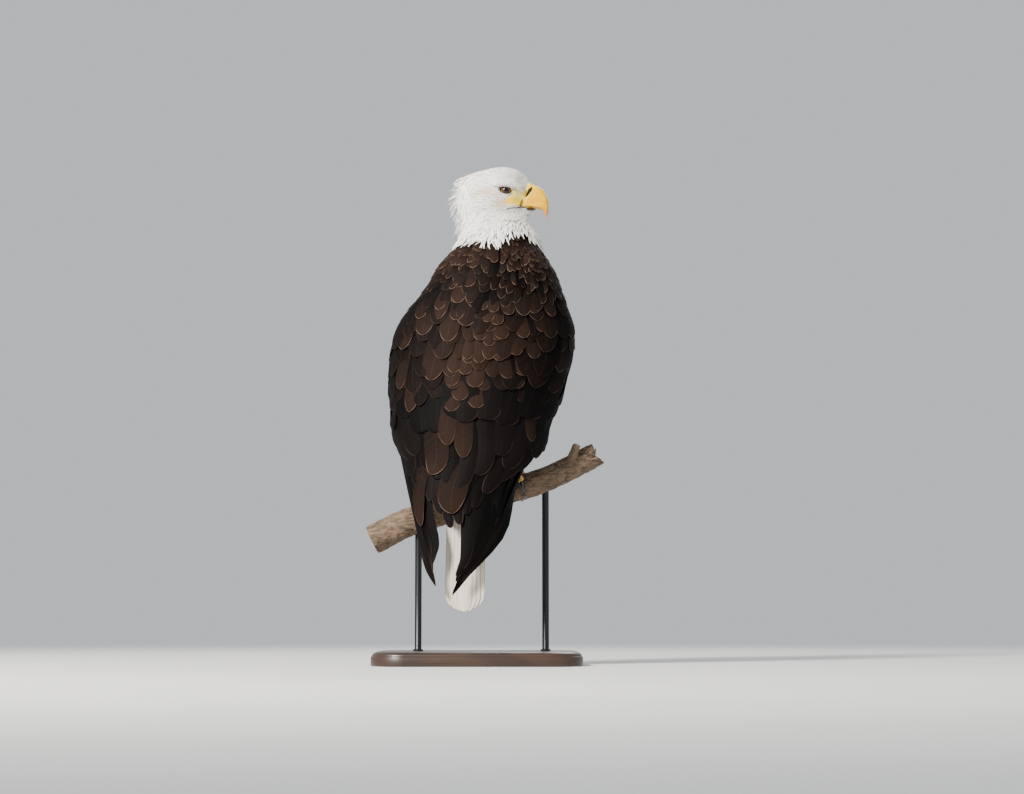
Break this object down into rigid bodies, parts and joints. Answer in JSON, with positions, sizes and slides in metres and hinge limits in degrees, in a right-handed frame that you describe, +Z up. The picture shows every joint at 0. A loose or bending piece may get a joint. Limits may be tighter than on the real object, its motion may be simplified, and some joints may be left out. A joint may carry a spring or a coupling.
{
  "type": "bald eagle",
  "caption": "Life-size model of an adult bald eagle at rest on a cut branch, seen with folded wings and its head turned to the side, on a display stand.",
  "frame": {"origin": "middle of the flat underside of the stand's base", "axes": "+Z up; the eagle faces +Y, turned a little to its right, and its bill points along +X"},
  "size_m": [0.4199, 0.29, 0.8782],
  "materials": {
    "white_feathers": "soft matt",
    "brown_feathers": "soft matt",
    "flight_feathers": "faint sheen",
    "bill": "satin",
    "eye": "wet gloss",
    "foot_skin": "scaly",
    "claw": "satin",
    "bark": "rough bark",
    "stand_wood": "dark stained, satin",
    "stand_rod": "satin black"
  },
  "bodies": {
    "root": {"stand_base": "stand_wood", "stand_rod_1": "stand_rod", "stand_rod_2": "stand_rod", "perch": "bark", "head": "white_feathers", "neck": "white_feathers", "trunk": "brown_feathers", "thigh_left": "brown_feathers", "thigh_right": "brown_feathers", "wing_left": "flight_feathers", "wing_right": "flight_feathers", "tail": "white_feathers", "bill_upper": "bill", "bill_lower": "bill", "eye_left": "eye", "eye_right": "eye", "shank_left": "foot_skin", "shank_right": "foot_skin", "foot_left": "foot_skin", "foot_right": "foot_skin", "claw_inner_left": "claw", "claw_middle_left": "claw", "claw_outer_left": "claw", "claw_hind_left": "claw", "claw_inner_right": "claw", "claw_middle_right": "claw", "claw_outer_right": "claw", "claw_hind_right": "claw"}
  },
  "joints": []
}
